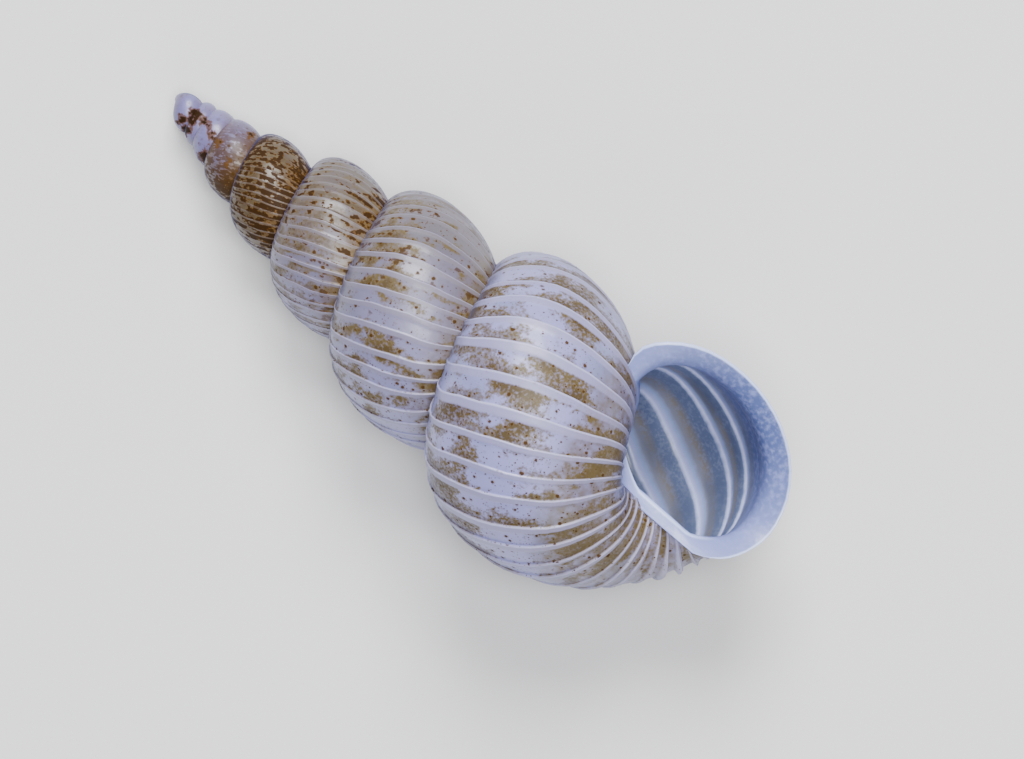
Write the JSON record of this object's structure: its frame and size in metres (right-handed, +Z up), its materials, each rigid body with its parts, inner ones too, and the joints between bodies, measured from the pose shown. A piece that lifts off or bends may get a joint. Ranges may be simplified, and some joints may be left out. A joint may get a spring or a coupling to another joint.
{
  "type": "wentletrap shell",
  "caption": "Slender coiled sea shell with deep sutures, close thin ribs along every whorl and a round flared mouth; lies on its back as a specimen or beach find.",
  "frame": {"origin": "centre of the bounding box in X and Y, on the ground that the shell's two small flats rest on", "axes": "+X runs along the spire from the pointed tip to the base, +Y points to the side that the mouth is on, +Z is up, the way the mouth faces"},
  "size_m": [0.0038, 0.0016, 0.0015],
  "materials": {
    "shell": "thin translucent white shell, softly glossy, with tan and dark brown stain between the ribs"
  },
  "bodies": {
    "root": {"shell": "shell"}
  },
  "joints": []
}
